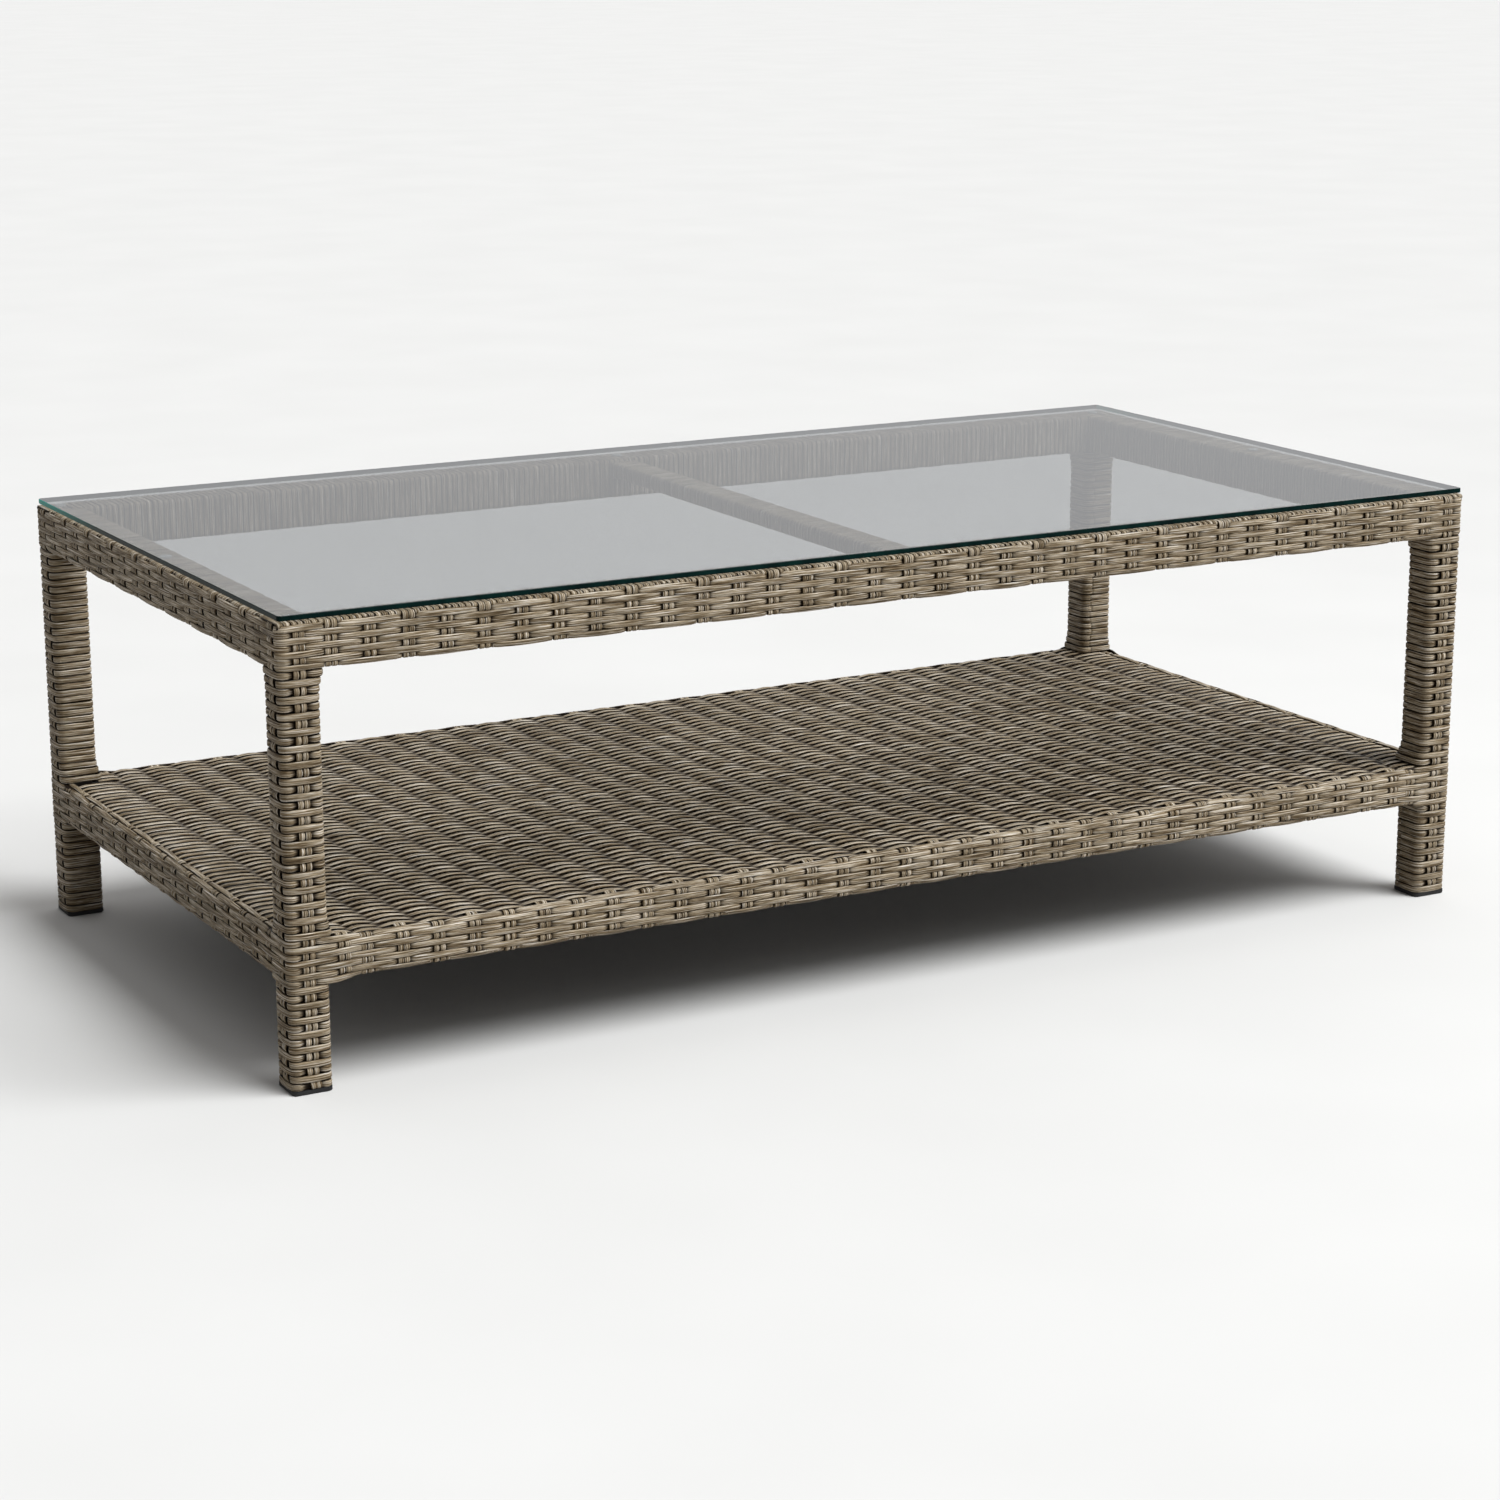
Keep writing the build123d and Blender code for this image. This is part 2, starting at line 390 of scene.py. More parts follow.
apron_pitch = (APRON_TOP - APRON_BOTTOM) / APRON_ROWS
apron_row_pitch = apron_pitch - APRON_ROW_CLOSER
apron_rows = [APRON_TOP - APRON_FIRST_ROW - (row + APRON_ROW_SHIFT) * apron_row_pitch
              for row in range(APRON_ROWS)]
shelf_leg_rows = [SHELF_TOP - SHELF_LEG_FIRST_ROW - row * SHELF_LEG_ROW for row in range(SHELF_ROWS)]


def ring_heights(top, bottom, count, spread):
    """Heights of the rings from the top down, a little wider apart at the top."""
    share = (np.arange(count) + 0.5) / count
    return list(top + (bottom - top) * (share + spread * share * (1 - share)))


rings_above = ring_heights(APRON_BOTTOM, shelf_leg_rows[0] + SHELF_LEG_ROW / 2, RINGS_ABOVE, RING_SPREAD)
rings_below = ring_heights(shelf_leg_rows[-1] - SHELF_LEG_ROW / 2, WEAVE_FOOT, RINGS_BELOW, 0.0)
leg_stations = apron_rows + rings_above + shelf_leg_rows + rings_below

apron_long = list(np.linspace(-LEG_X + END_GAP, LEG_X - END_GAP, APRON_LONG_PAIRS))
short_pairs = list(np.linspace(-LEG_Y + END_GAP, LEG_Y - END_GAP, SHORT_PAIRS))
shelf_columns = list(np.linspace(-LEG_X + SHELF_END_GAP, LEG_X - SHELF_END_GAP, SHELF_LONG_PAIRS))
shelf_long = [-LEG_X + SHELF_EXTRA_GAP, *shelf_columns, LEG_X - SHELF_EXTRA_GAP]
shelf_gap = shelf_columns[1] - shelf_columns[0]


def side_pairs(name, long_pairs):
    """Pairs between the legs of one side, measured along it."""
    return long_pairs if name in LONG_SIDES else short_pairs


def first_number(name, long_pairs):
    """The number of the leg pair a side starts with, counting all pairs round the table."""
    count = 0
    for other in SIDES:
        if other == name:
            return count
        count += len(side_pairs(other, long_pairs)) + 2


def row_passes_under(row, number):
    """Row and pair numbers decide which of the two is on top: 1 when the pair shows, else -1."""
    return 1 if (row + number) % 2 == 0 else -1


def loop_and_pairs(long_pairs):
    """The loop round the table, how far along it each warp pair stands, and the first pair's number."""
    corners = [(0, HALF_WIDTH), (-HALF_LENGTH, HALF_WIDTH), (-HALF_LENGTH, -HALF_WIDTH),
               (HALF_LENGTH, -HALF_WIDTH), (HALF_LENGTH, HALF_WIDTH), (0, HALF_WIDTH)]
    points, normals = rounded_path(corners, CORNER_RADIUS, ROW_STEP)
    places = []
    for name, side in SIDES.items():
        for along in [-side[3], *side_pairs(name, long_pairs), side[3]]:
            places.append(in_space(side, np.array([side[2]]), np.array([along]), [0.0])[0, :2])
    stations = distance_at(points, places)
    first = -int(np.sum(stations < stations[0]))
    stations = np.sort(stations)
    length = distances(points)[-1]
    stations = np.concatenate([[stations[-1] - length], stations, [stations[0] + length]])
    return points, normals, stations, first - 1


def row_level(wave):
    """How deep a row lies: a dip where the wave is near -1 and a crown where it is near 1."""
    dip = smooth(DIP_START, DIP_END, -wave)
    return ROW_OVER + ROW_CROWN * np.clip(wave, 0, 1) + (ROW_UNDER - ROW_OVER) * dip


def add_loop(weave, loop, row, section):
    """One row round the whole table: under every other pair, and over the pairs between.
    section gives, for points on the loop, how far in, how high and how far tilted up the row lies."""
    points, normals, stations, first = loop
    wave = alternation(distances(points), stations, -row_passes_under(row, first))
    start = int(np.argmin(wave[: len(wave) // 4]))
    order = np.concatenate([np.arange(start, len(points) - 1), np.arange(0, start + 1)])
    points, normals, wave = points[order], normals[order], wave[order]
    level = row_level(wave)
    inward, height, tilt = section(points)
    height = height + wander(distances(points), ROW_DRIFT)
    lying = points - normals * inward[:, None]
    facing = np.column_stack([normals * np.cos(tilt)[:, None], np.sin(tilt)])
    centre = np.column_stack([lying, height]) + facing * level[:, None]
    weave.add(centre, facing, level, ROW_WIDTH)


# ---------------------------------------------------------------- the woven pieces

def build_apron_rows(material):
    weave = Weave("apron_rows")
    loop = loop_and_pairs(apron_long)
    for row, middle in enumerate(apron_rows, start=1):
        def section(points, middle=middle, tilt=APRON_TILTS.get(row, 0.0)):
            flat = np.ones(len(points))
            return TILT_INWARD * abs(tilt) * flat, middle * flat, tilt * flat
        add_loop(weave, loop, row, section)
    weave.build(material, *("top_weave_" + name for name in SIDES))


def shelf_section(row):
    """Where a shelf row lies: on an edge or on the side, and upright at the legs."""
    inward, middle, tilt = 0.0, SHELF_TOP - SHELF_FIRST_ROW - row * SHELF_ROW_PITCH, 0.0
    if row == 0:
        inward, middle, tilt = RIM_ROW_INWARD, SHELF_TOP - RIM_ROW_DROP, RIM_ROW_TILT
    elif row == 1:
        inward, tilt = SECOND_ROW_INWARD, SECOND_ROW_TILT
    elif row == SHELF_ROWS - 1:
        inward, middle, tilt = LAST_ROW_INWARD, SHELF_BOTTOM + LAST_ROW_RISE, LAST_ROW_TILT
    at_leg = shelf_leg_rows[row]

    def section(points):
        near_x = smooth(LEG_X - LEG_HALF - TRANSITION, LEG_X - LEG_HALF, abs(points[:, 0]))
        near_y = smooth(LEG_Y - LEG_HALF - TRANSITION, LEG_Y - LEG_HALF, abs(points[:, 1]))
        leg = near_x * near_y
        return inward * (1 - leg), middle + (at_leg - middle) * leg, tilt * (1 - leg)

    return section


def build_shelf_rows(material):
    """Seven rows round the shelf, and a border strand on top along each short side."""
    weave = Weave("shelf_rows")
    loop = loop_and_pairs(shelf_long)
    for row in range(SHELF_ROWS):
        add_loop(weave, loop, row, shelf_section(row))
    for name in ("left", "right"):
        side = SIDES[name]
        half = side[3] - LEG_HALF + WEFT_LEG_OVERLAP
        along = np.linspace(-half, half, round(2 * half / ROW_STEP))
        stations = [-side[3], *short_pairs, side[3]]
        number = first_number(name, shelf_long)
        wave = alternation(along, stations, -row_passes_under(-1, number))
        level = row_level(wave)
        out = side[2] - BORDER + wander(along, BORDER_DRIFT)
        centre = in_space(side, out, along, SHELF_TOP + level)
        facing = np.tile((0.0, 0.0, 1.0), (len(along), 1))
        weave.add(centre, facing, level, ROW_WIDTH)
    weave.build(material, *("shelf_weave_" + name for name in SIDES))


def add_on_side(weave, side, path, along, level, width, thickness=THICKNESS, drift=None):
    """A strand across one side: path holds its distances outward and up, and level how deep it lies."""
    points, normals = path
    moved = points + normals * level[:, None]
    place = np.full(len(points), along) if drift is None else along + drift
    centre = in_space(side, moved[:, 0], place, moved[:, 1])
    facing = in_space(side, normals[:, 0], np.zeros(len(points)), normals[:, 1])
    weave.add(centre, facing, level, width, thickness)


def warp_level(path, stations, first):
    """A warp strand's depth on the outer face, over and under the rows at the stations."""
    wave = alternation(distances(path[0]), stations, first)
    return WARP_LOW + (WARP_HIGH - WARP_LOW) * (0.5 + 0.5 * wave)


def wrap_places(pairs, inner):
    """Where the wraps of a rail lie between the legs, each with its pair's index if it belongs to one."""
    places = []
    for index, pair in enumerate(pairs):
        places += [(pair - PAIR_HALF, index), (pair + PAIR_HALF, index)]
    starts = [-inner, *(pair + 2 * PAIR_HALF for pair in pairs)]
    ends = [*(pair - 2 * PAIR_HALF for pair in pairs), inner]
    for start, end in zip(starts, ends):
        count = max(1, round((end - start) / WRAP_PITCH))
        places += [(start + (number + 0.5) * (end - start) / count, None) for number in range(count)]
    return places


def tucked_level(path, outer, *covers):
    """How deep a wrap lies: down under the rows where it crosses an outer face between the covers'
    (start, end) heights, and flat elsewhere."""
    points = path[0]
    hidden = sum(smooth(start, end, points[:, 1]) for start, end in covers) - (len(covers) - 1)
    hidden = hidden * smooth(outer - HIDING_FACE[0], outer - HIDING_FACE[1], points[:, 0])
    return LYING + (TUCKED - LYING) * hidden


def build_top_rail(name, material):
    """Wraps round one top rail. Two of every six come out between the rows on the outer face as a pair."""
    side = SIDES[name]
    outer, inner = side[2], side[2] - LEG_SIZE
    middle = (outer + inner) / 2
    weave = Weave("top_strands_" + name)
    whole = rounded_path([(middle, APRON_BOTTOM), (outer, APRON_BOTTOM), (outer, APRON_TOP),
                          (inner, APRON_TOP), (inner, APRON_BOTTOM), (middle, APRON_BOTTOM)],
                         EDGE_RADIUS, PAIR_STEP)
    part = rounded_path([(outer, APRON_TOP - LAP), (outer, APRON_TOP), (inner, APRON_TOP),
                         (inner, APRON_BOTTOM), (outer, APRON_BOTTOM), (outer, APRON_BOTTOM + LAP)],
                        EDGE_RADIUS, WRAP_STEP)
    rows = distance_at(whole[0], [(outer, height) for height in reversed(apron_rows)])
    on_face = smooth(outer - EDGE_RADIUS, outer - HIDING_START, whole[0][:, 0])
    tucked = tucked_level(part, outer, (APRON_TOP - HIDING_START, APRON_TOP - HIDING_RUN),
                          (APRON_BOTTOM + HIDING_START, APRON_BOTTOM + HIDING_RUN))
    pairs = side_pairs(name, apron_long)
    number = first_number(name, apron_long) + 1
    for along, index in wrap_places(pairs, side[3] - LEG_HALF):
        jitter = random.normal(0, WRAP_JITTER)
        if index is not None:
            woven = warp_level(whole, rows, row_passes_under(APRON_ROWS, number + index))
            level = LYING + (woven - LYING) * on_face
            add_on_side(weave, side, whole, along + jitter, level, WARP_WIDTH, WARP_THICKNESS)
        else:
            add_on_side(weave, side, part, along + jitter, tucked, WRAP_WIDTH)
    weave.build(material, "top_weave_" + name)


def build_shelf_rail(name, material):
    """Wraps under one shelf rail, with pairs that climb the outer face and run on into the shelf."""
    side = SIDES[name]
    outer, inner = side[2], side[2] - LEG_SIZE
    long_side = name in LONG_SIDES
    weave = Weave("shelf_strands_" + name)
    base = [(inner, panel_low.z - END_CLEARANCE), (inner, SHELF_BOTTOM), (outer, SHELF_BOTTOM)]
    part = rounded_path(base + [(outer, SHELF_BOTTOM + LAP)], EDGE_RADIUS, WRAP_STEP)
    edge = outer - WARP_RUN
    radii = [EDGE_RADIUS, EDGE_RADIUS, RIM_RADIUS]
    whole = rounded_path(base + [(outer, SHELF_TOP), (edge, SHELF_TOP)], radii, PAIR_STEP)
    if long_side:
        inside = np.linspace(edge, 0.0, WARP_RUN_SECTIONS)[1:]
        run = np.column_stack([inside, np.full(len(inside), SHELF_TOP)])
        up = np.tile((0.0, 1.0), (len(inside), 1))
        whole = (np.vstack([whole[0], run]), np.vstack([whole[1], up]))
    targets = [(outer - BORDER, SHELF_TOP)]
    for row in range(SHELF_ROWS):
        inward, height, tilt = shelf_section(row)(np.zeros((1, 2)))
        targets.append((outer - inward[0], height[0]))
    rows = distance_at(whole[0], targets[::-1])
    started = smooth(rows[0] - LAP, rows[0], distances(whole[0]))
    finished = smooth(rows[-1] + SINKING_START, rows[-1] + HIDING_RUN, distances(whole[0]))
    inner_level = WEFT_MIDDLE - SHELF_TOP if long_side else TUCKED_END
    tucked = tucked_level(part, outer, (SHELF_BOTTOM + HIDING_START, SHELF_BOTTOM + HIDING_RUN))
    pairs = side_pairs(name, shelf_long)
    number = first_number(name, shelf_long) + 1
    for along, index in wrap_places(pairs, side[3] - LEG_HALF):
        jitter = random.normal(0, WRAP_JITTER)
        if index is not None:
            woven = warp_level(whole, rows, row_passes_under(SHELF_ROWS - 1, number + index))
            level = LYING + (woven - LYING) * started
            level = level + (inner_level - level) * finished
            add_on_side(weave, side, whole, along + jitter, level, WARP_WIDTH, WARP_THICKNESS)
        else:
            add_on_side(weave, side, part, along + jitter, tucked, WRAP_WIDTH)
    weave.build(material, "shelf_weave_" + name)


def build_shelf_wefts(material):
    """Strands packed side by side across the shelf, over one warp pair and under the next."""
    reach = HALF_WIDTH - BORDER
    places = np.linspace(-reach, reach, WEFTS)
    columns = [shelf_columns[0] - shelf_gap, *shelf_columns, shelf_columns[-1] + shelf_gap]
    for number, strip in enumerate(np.array_split(np.arange(WEFTS), WEFT_STRIPS), start=1):
        weave = Weave(f"shelf_wefts_{number}")
        for index in strip:
            between_legs = abs(places[index]) > LEG_Y - LEG_HALF - WEFT_WIDTH / 2
            half = LEG_X - LEG_HALF + WEFT_LEG_OVERLAP if between_legs else HALF_LENGTH - WEFT_END_GAP
            along = np.linspace(-half, half, round(2 * half / WEFT_STEP))
            first = -row_passes_under(index, 0)
            wave = alternation(along, shelf_long if between_legs else columns, first)
            sink = smooth(HALF_LENGTH - WEFT_SINK_START, HALF_LENGTH - WEFT_SINK_END, abs(along))
            height = WEFT_MIDDLE + WEFT_LIFT * wave * (1 - sink) - WEFT_SINK * sink
            height = height + random.normal(0, WRAP_JITTER)
            place = places[index] + wander(along, WEFT_DRIFT) + random.normal(0, WEFT_JITTER)
            facing = np.tile((0.0, 0.0, 1.0), (len(along), 1))
            # This level only sets the weft's painted shade.
            level = height + WEFT_SHADE_LIFT - SHELF_TOP
            weave.add(np.column_stack([along, place, height]), facing, level, WEFT_WIDTH, WEFT_THICKNESS)
        weave.build(material, "shelf_weave_panel")


def build_shelf_filling(material):
    """Thin strands beside the warp pairs, which close the gaps between high and low wefts, painted in full
    shade as dark gaps.
    """
    weave = Weave("shelf_filling")
    half = HALF_LENGTH - BORDER - ROW_WIDTH / 2
    starts = [-half, *(column + 2 * PAIR_HALF for column in shelf_columns)]
    ends = [*(column - 2 * PAIR_HALF for column in shelf_columns), half]
    for start, end in zip(starts, ends):
        count = round((end - start) / FILL_PITCH)
        for number in range(count):
            place = start + (number + 0.5) * (end - start) / count
            reach = HALF_WIDTH - BORDER if abs(place) < LEG_X - LEG_HALF - FILL_WIDTH else LEG_Y - LEG_HALF
            across = np.linspace(-reach, reach, FILL_SECTIONS)
            flat = np.ones(len(across))
            centre = np.column_stack([place * flat, across, WEFT_MIDDLE * flat])
            facing = np.tile((0.0, 0.0, 1.0), (len(across), 1))
            weave.add(centre, facing, FILL_SHADE_LEVEL * flat, FILL_WIDTH, FILL_THICKNESS)
    weave.build(material, "shelf_weave_panel")


def build_cross_bar(material):
    """Wraps side by side round the bar under the glass."""
    weave = Weave("cross_bar_strands")
    centre = (bar_low.x + bar_high.x) / 2
    points, normals = rounded_path([(centre, bar_low.z), (bar_high.x, bar_low.z), (bar_high.x, bar_high.z),
                                    (bar_low.x, bar_high.z), (bar_low.x, bar_low.z), (centre, bar_low.z)],
                                   EDGE_RADIUS, WRAP_STEP)
    lying = points + normals * LYING
    lean = WRAP_LEAN * (lying[:, 1] - bar_low.z) / (bar_high.z - bar_low.z)
    count = round((bar_high.y - bar_low.y) / WRAP_PITCH)
    pitch = (bar_high.y - bar_low.y) / count
    for number in range(count):
        place = bar_low.y + (number + 0.5) * pitch + random.normal(0, WRAP_JITTER)
        spot = np.column_stack([lying[:, 0], place + lean, lying[:, 1]])
        facing = np.column_stack([normals[:, 0], np.zeros(len(points)), normals[:, 1]])
        weave.add(spot, facing, np.full(len(points), LYING), WRAP_WIDTH)
    weave.build(material, "cross_bar_weave")


def near_pair(towards, offset):
    """1 in the middle of a leg's outer face, where its pair stands, and 0 away from it. towards says how
    squarely the ring faces that way, and offset how far from the middle it is."""
    return smooth(*FACE_TURN, towards) * (1 - smooth(*PAIR_REACH, abs(offset)))


def add_ring(weave, leg, height, under_long, bulge):
    """One ring round a leg: under the pair on one outer face and over the pair on the other."""
    sx, sy = leg
    inside_x, inside_y = -sx * (LEG_HALF + bulge), -sy * (LEG_HALF + bulge)
    low_x, high_x = sorted([inside_x, sx * LEG_HALF])
    low_y, high_y = sorted([inside_y, sy * LEG_HALF])
    corners = [np.array(c) for c in ((low_x, low_y), (high_x, low_y), (high_x, high_y), (low_x, high_y))]
    inner = [i for i, c in enumerate(corners) if c[0] == inside_x and c[1] == inside_y][0]
    order = [corners[(inner + k) % 4] for k in range(5)]
    start = order[0] + (order[1] - order[0]) * random.uniform(*RING_JOINT)
    points, normals = rounded_path([start, *order[1:], start], CORNER_RADIUS, RING_STEP)
    on_long = near_pair(normals[:, 1] * sy, points[:, 0])
    on_short = near_pair(normals[:, 0] * sx, points[:, 1])
    under, over = (on_long, on_short) if under_long else (on_short, on_long)
    level = LYING + (RING_UNDER - LYING) * under + (RING_OVER - LYING) * over
    moved = points + normals * level[:, None]
    along = distances(points)
    height = height + random.normal(0, RING_JITTER) + wander(along, RING_DRIFT, along[-1])
    centre = np.column_stack([moved[:, 0] + sx * LEG_X, moved[:, 1] + sy * LEG_Y, height])
    facing = np.column_stack([normals, np.zeros(len(points))])
    weave.add(centre, facing, level, RING_WIDTH)


def add_leg_pair(weave, side, leg, number, long_side):
    """The pair on one outer face of a leg, and on a long side the strands that close the top beside it."""
    along = side[3] * np.dot(side[1], leg)
    outer = side[2]
    end = outer - LEG_SIZE + END_CLEARANCE if long_side else outer - SHORT_PAIR_REACH
    path = rounded_path([(outer, WEAVE_FOOT + END_CLEARANCE), (outer, APRON_TOP), (end, APRON_TOP)],
                        EDGE_RADIUS, LEG_PAIR_STEP)
    rows = distance_at(path[0], [(outer, height) for height in reversed(leg_stations)])
    level = warp_level(path, rows, row_passes_under(len(leg_stations), number))
    top = smooth(APRON_TOP - LEG_TOP_BLEND[0], APRON_TOP - LEG_TOP_BLEND[1], path[0][:, 1])
    inside = smooth(outer - SHORT_PAIR_BLEND[0], outer - SHORT_PAIR_BLEND[1], path[0][:, 0])
    resting = LYING if long_side else LYING - SHORT_PAIR_DEPTH * inside
    level = level + (resting - level) * top
    foot = 1 - smooth(WEAVE_FOOT, WEAVE_FOOT + FOOT_HEIGHT, path[0][:, 1])
    splay = random.uniform(*FOOT_SPLAY) * MM * foot ** 2
    for strand in (-1, 1):
        drift = wander(distances(path[0]), PAIR_DRIFT) + splay * random.uniform(*STRAND_SPLAY)
        place = along + strand * PAIR_HALF
        add_on_side(weave, side, path, place, level, WARP_WIDTH, WARP_THICKNESS, drift)
    if not long_side:
        return
    cap = rounded_path([(outer, APRON_TOP - LAP), (outer, APRON_TOP), (end, APRON_TOP)],
                       EDGE_RADIUS, WRAP_STEP)
    hidden = 1 - smooth(APRON_TOP - HIDING_RUN, APRON_TOP - HIDING_START, cap[0][:, 1])
    level = LYING + (TUCKED - LYING) * hidden
    for strand in CAP_PLACES:
        add_on_side(weave, side, cap, along + strand * CAP_PITCH, level, CAP_WIDTH)


def build_leg(name, material):
    """Rings, the warp pairs of both outer faces, and the strands that close the top."""
    leg = LEGS[name]
    weave = Weave("leg_strands_" + name)
    outer_sides = {side: facts for side, facts in SIDES.items() if np.dot(facts[0], leg) > 0}
    numbers = {}
    for side_name, side in outer_sides.items():
        number = first_number(side_name, apron_long)
        at_end = np.dot(side[1], leg) > 0
        numbers[side_name] = number + len(side_pairs(side_name, apron_long)) + 1 if at_end else number
    long_number = next(number for side_name, number in numbers.items() if side_name in LONG_SIDES)
    flare = dict(enumerate(FLARE))
    for index, height in enumerate(rings_above):
        row = APRON_ROWS + 1 + index
        bulge = flare.get(index, 0.0) + flare.get(RINGS_ABOVE - 1 - index, 0.0)
        add_ring(weave, leg, height, row_passes_under(row, long_number) > 0, bulge)
    for index, height in enumerate(rings_below):
        row = APRON_ROWS + 1 + RINGS_ABOVE + SHELF_ROWS + index
        add_ring(weave, leg, height, row_passes_under(row, long_number) > 0, 0.0)
    for side_name, side in outer_sides.items():
        add_leg_pair(weave, side, leg, numbers[side_name], side_name in LONG_SIDES)
    weave.build(material, "leg_weave_" + name)


# ---------------------------------------------------------------- materials

# The depths, in millimetres, between which painted shade darkens a strand, and how deep the reliefs are.
SHADED_DEPTHS = (0.3, 2.4)
STREAK_DEPTH = 0.5 * MM
GRAIN_DEPTH = 0.1 * MM


class Nodes:
    """A material's node tree, with short ways to add and join nodes."""

    def __init__(self, name):
        self.material = bpy.data.materials.new(name)
        self.material.use_nodes = True
        self.tree = self.material.node_tree
        self.surface = self.tree.nodes["Principled BSDF"]
        self.output = self.tree.nodes["Material Output"]

    def add(self, kind, **values):
        node = self.tree.nodes.new(kind)
        for key, value in values.items():
            setattr(node, key, value)
        return node

    def join(self, source, target):
        self.tree.links.new(source, target)

    def math(self, operation, first, second=None):
        node = self.add("ShaderNodeMath", operation=operation)
        for socket, value in zip(node.inputs, (first, second)):
            if value is None:
                continue
            if isinstance(value, (int, float)):
                socket.default_value = value
            else:
                self.join(value, socket)
        return node.outputs[0]

    def noise(self, vector, scale, detail=2.0, roughness=0.5):
        node = self.add("ShaderNodeTexNoise")
        node.inputs["Scale"].default_value = scale
        node.inputs["Detail"].default_value = detail
        node.inputs["Roughness"].default_value = roughness
        self.join(vector, node.inputs["Vector"])
        return node.outputs["Fac"]

    def ramp(self, factor, stops):
        node = self.add("ShaderNodeValToRGB")
        elements = node.color_ramp.elements
        while len(elements) < len(stops):
            elements.new(0.5)
        for element, (place, colour) in zip(elements, stops):
            element.position = place
            element.color = (*colour, 1.0)
        self.join(factor, node.inputs["Fac"])
        return node.outputs["Color"]

    def mix(self, factor, first, second, blend="MIX"):
        node = self.add("ShaderNodeMix", data_type="RGBA", blend_type=blend)
        for socket, value in ((node.inputs[0], factor), (node.inputs[6], first), (node.inputs[7], second)):
            if isinstance(value, (int, float)):
                socket.default_value = value
            elif isinstance(value, tuple):
                socket.default_value = (*value, 1.0)
            else:
                self.join(value, socket)
        return node.outputs[2]

    def bump(self, height, strength, distance):
        node = self.add("ShaderNodeBump")
        node.inputs["Strength"].default_value = strength
        node.inputs["Distance"].default_value = distance
        self.join(height, node.inputs["Height"])
        self.join(node.outputs["Normal"], self.surface.inputs["Normal"])


def grey(value):
    return value, value, value


def strand_material():
    """Extruded strand in mixed grey, straw and brown, ribbed and streaked along its length. Painted shade
    darkens it in the rib grooves, towards its edges and the deeper it lies in the weave, and a slight
    painted highlight lightens the rib crests."""
    nodes = Nodes("woven_strand")
    mark = nodes.add("ShaderNodeAttribute", attribute_name="strand")
    depth = nodes.add("ShaderNodeAttribute", attribute_name="depth").outputs["Fac"]
    parts = nodes.add("ShaderNodeSeparateXYZ")
    nodes.join(mark.outputs["Vector"], parts.inputs["Vector"])

    def stretched(along, across):
        join = nodes.add("ShaderNodeCombineXYZ")
        nodes.join(nodes.math("MULTIPLY", parts.outputs["X"], along), join.inputs["X"])
        nodes.join(nodes.math("MULTIPLY", parts.outputs["Y"], across), join.inputs["Y"])
        nodes.join(parts.outputs["Z"], join.inputs["Z"])
        return join.outputs["Vector"]

    streaks = nodes.noise(stretched(26.0, 980.0), 1.0, 3.0, 0.7)
    fibres = nodes.noise(stretched(70.0, 2200.0), 1.0, 3.0, 0.65)
    patches = nodes.noise(stretched(26.0, 60.0), 1.0, 2.0, 0.5)
    colour = nodes.ramp(streaks, [
        (0.35, (0.040, 0.024, 0.010)),
        (0.43, (0.135, 0.092, 0.047)),
        (0.50, (0.266, 0.210, 0.136)),
        (0.57, (0.405, 0.352, 0.276)),
        (0.67, (0.630, 0.590, 0.542)),
    ])
    warmth = nodes.ramp(patches, [(0.38, (0.86, 0.86, 0.85)), (0.62, (1.10, 1.06, 0.99))])
    colour = nodes.mix(0.6, colour, warmth, "MULTIPLY")
    grain = nodes.ramp(fibres, [(0.30, grey(0.66)), (0.70, grey(1.22))])
    colour = nodes.mix(0.85, colour, grain, "MULTIPLY")
    # Painted shade along the rib grooves and the strands' edges, and a slight painted highlight on the rib
    # crests.
    ribs = nodes.math("COSINE", nodes.math("MULTIPLY", parts.outputs["Y"], 2 * math.pi / RIB_PITCH))
    crests = nodes.math("ABSOLUTE", ribs)
    groove_shade = nodes.ramp(crests, [(0.0, (0.46, 0.43, 0.39)), (0.6, grey(1.10))])
    colour = nodes.mix(0.8, colour, groove_shade, "MULTIPLY")
    # Painted shade: the deeper a point lies, the darker and browner it is painted, down to the ramp's last
    # colour.
    sunk = nodes.add("ShaderNodeMapRange", interpolation_type="SMOOTHSTEP")
    sunk.inputs["From Min"].default_value, sunk.inputs["From Max"].default_value = SHADED_DEPTHS
    nodes.join(depth, sunk.inputs["Value"])
    shade = nodes.ramp(sunk.outputs["Result"], [(0.0, grey(1.0)), (1.0, (0.055, 0.034, 0.015))])
    colour = nodes.mix(1.0, colour, shade, "MULTIPLY")
    nodes.join(colour, nodes.surface.inputs["Base Color"])
    rough = nodes.ramp(fibres, [(0.3, grey(0.54)), (0.7, grey(0.38))])
    nodes.join(rough, nodes.surface.inputs["Roughness"])
    height = nodes.math("ADD", nodes.math("MULTIPLY", streaks, 0.8), nodes.math("MULTIPLY", fibres, 0.4))
    height = nodes.math("ADD", height, nodes.math("MULTIPLY", crests, 0.5))
    nodes.surface.inputs["Specular IOR Level"].default_value = 0.18
    nodes.bump(height, 0.55, STREAK_DEPTH)
    return nodes.material


